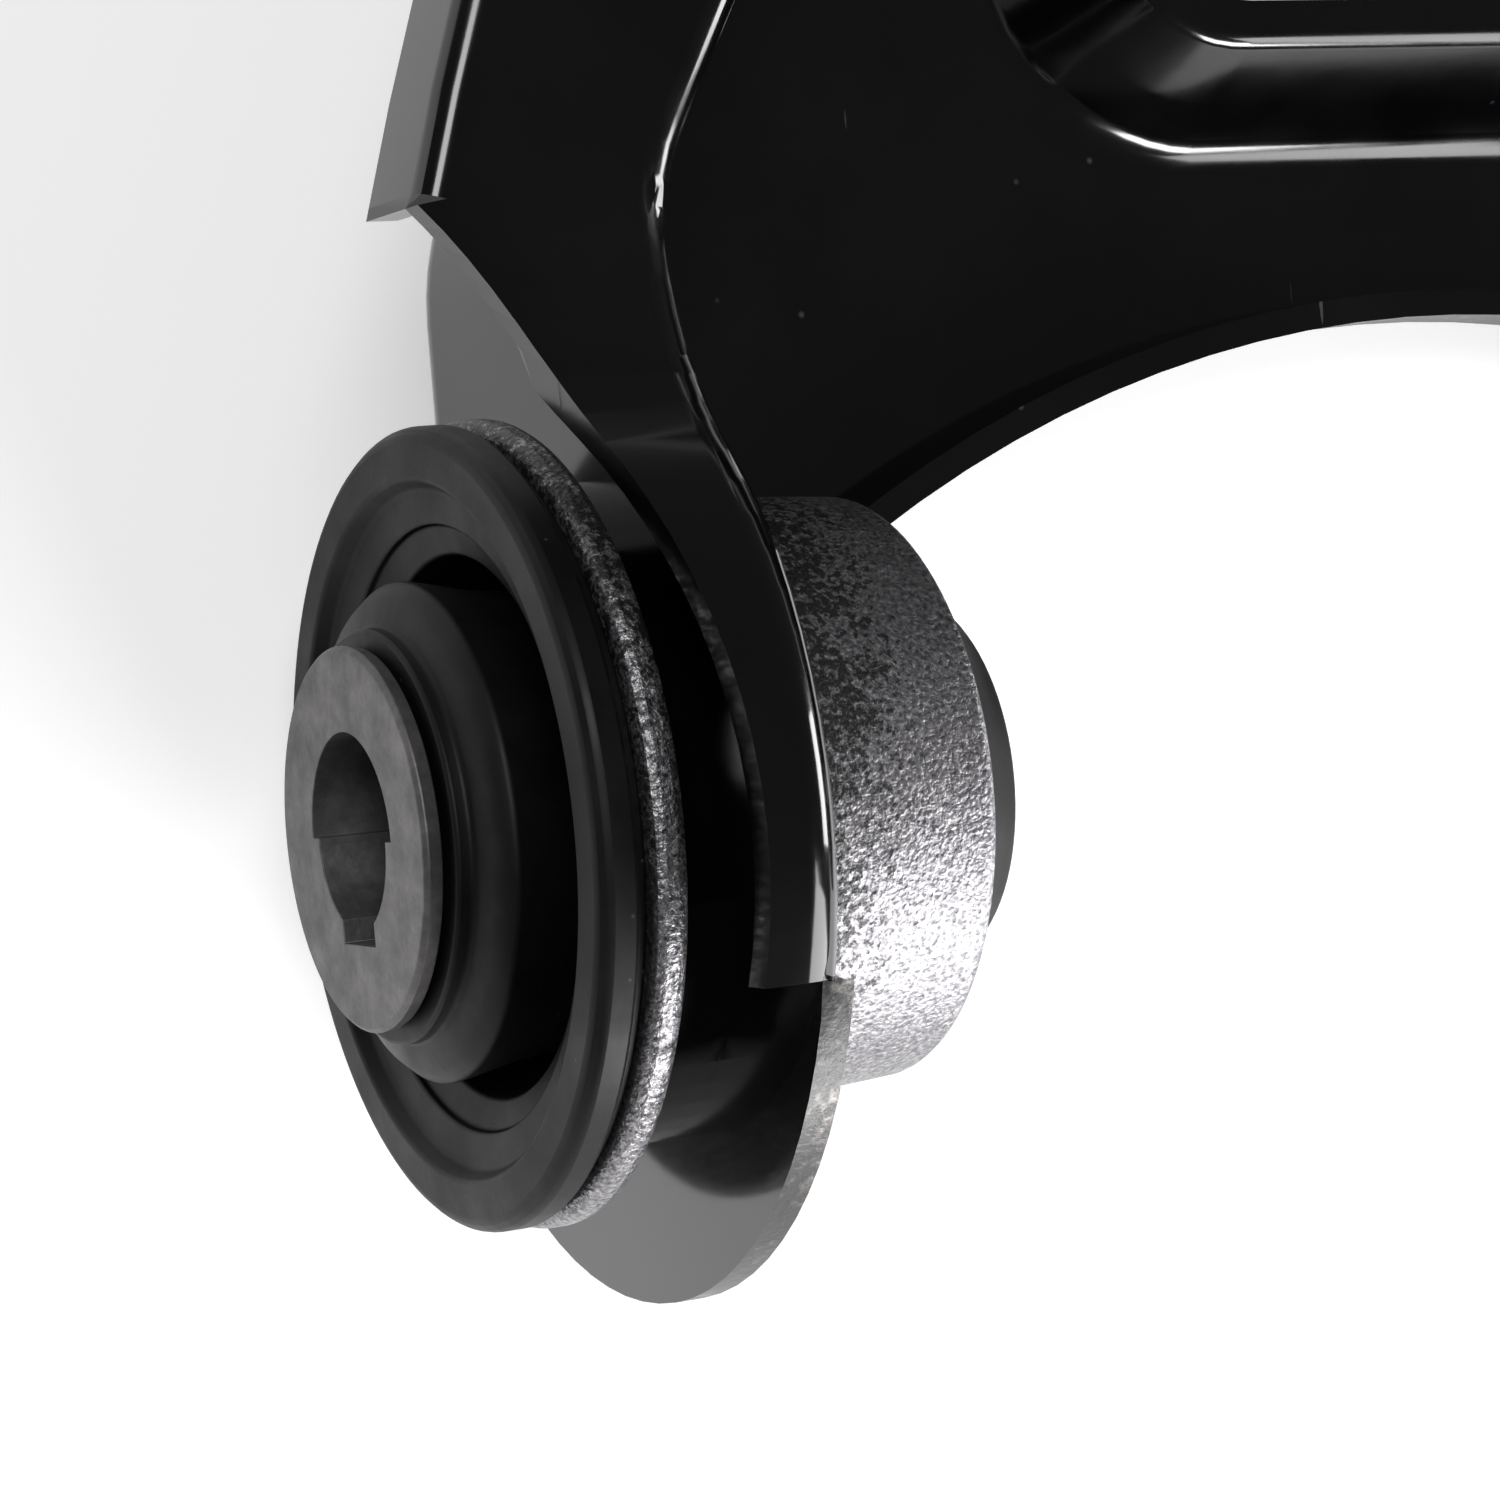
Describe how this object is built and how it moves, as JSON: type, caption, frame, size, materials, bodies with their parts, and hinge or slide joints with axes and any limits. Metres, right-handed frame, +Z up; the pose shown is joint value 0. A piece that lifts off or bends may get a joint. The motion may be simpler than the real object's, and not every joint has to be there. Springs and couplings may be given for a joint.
{
  "type": "control arm",
  "caption": "A-shaped pressed steel suspension arm with two coaxial bonded rubber bushes, a raised window rim and a bolted ball joint with boot and castle nut.",
  "frame": {"origin": "centre of the front bush, on its axis", "axes": "+X along the bush axis to the rear bush, +Y towards the ball joint, +Z up out of the open side of the pressing"},
  "size_m": [0.258, 0.252, 0.0878],
  "materials": {
    "black_paint": "gloss black electrocoat",
    "cast_aluminium": "rough cast, with black overspray by the ear",
    "bush_rubber": "satin moulded rubber",
    "sleeve_aluminium": "matt grey with burred edges",
    "phosphated_steel": "dark phosphate",
    "seat_plastic": "acetal",
    "bright_steel": "machined",
    "boot_rubber": "satin moulded rubber",
    "zinc_steel": "zinc plated"
  },
  "bodies": {
    "arm": {"pressed_arm": "black_paint", "apex_doubler": "black_paint", "front_outer_sleeve": "cast_aluminium", "front_bush_rubber": "bush_rubber", "rear_outer_sleeve": "cast_aluminium", "rear_bush_rubber": "bush_rubber", "ball_housing": "phosphated_steel", "bearing_seat": "seat_plastic", "housing_cap": "phosphated_steel", "dust_boot": "boot_rubber", "boot_base_clip": "bright_steel", "mounting_bolts": "zinc_steel", "lock_washers": "zinc_steel", "mounting_nuts": "zinc_steel"},
    "front_sleeve": {"front_inner_sleeve": "sleeve_aluminium"},
    "rear_sleeve": {"rear_inner_sleeve": "sleeve_aluminium"},
    "boot_neck": {"boot_neck_ring": "bright_steel"},
    "stud": {"ball_stud": "bright_steel", "castle_nut": "zinc_steel", "cotter_pin": "zinc_steel"}
  },
  "joints": [
    {"name": "front_sleeve_twist", "type": "hinge", "parent": "arm", "child": "front_sleeve", "pos_m": [0, 0, 0], "axis": [1, 0, 0], "range_deg": [-25, 25], "stiffness_Nm_per_rad": 60},
    {"name": "rear_sleeve_twist", "type": "hinge", "parent": "arm", "child": "rear_sleeve", "pos_m": [0.203, 0, 0], "axis": [1, 0, 0], "range_deg": [-25, 25], "stiffness_Nm_per_rad": 60},
    {"name": "stud_tilt", "type": "hinge", "parent": "arm", "child": "boot_neck", "pos_m": [0.1015, 0.165, -0.0185], "axis": [1, 0, 0], "range_deg": [-20, 20], "deforming": ["dust_boot"]},
    {"name": "stud_spin", "type": "hinge", "parent": "boot_neck", "child": "stud", "pos_m": [0.1015, 0.165, -0.0185], "axis": [0, 0, 1], "continuous": true}
  ],
  "couplings": [
    {"joint": "rear_sleeve_twist", "follows": "front_sleeve_twist", "ratio": 1}
  ]
}
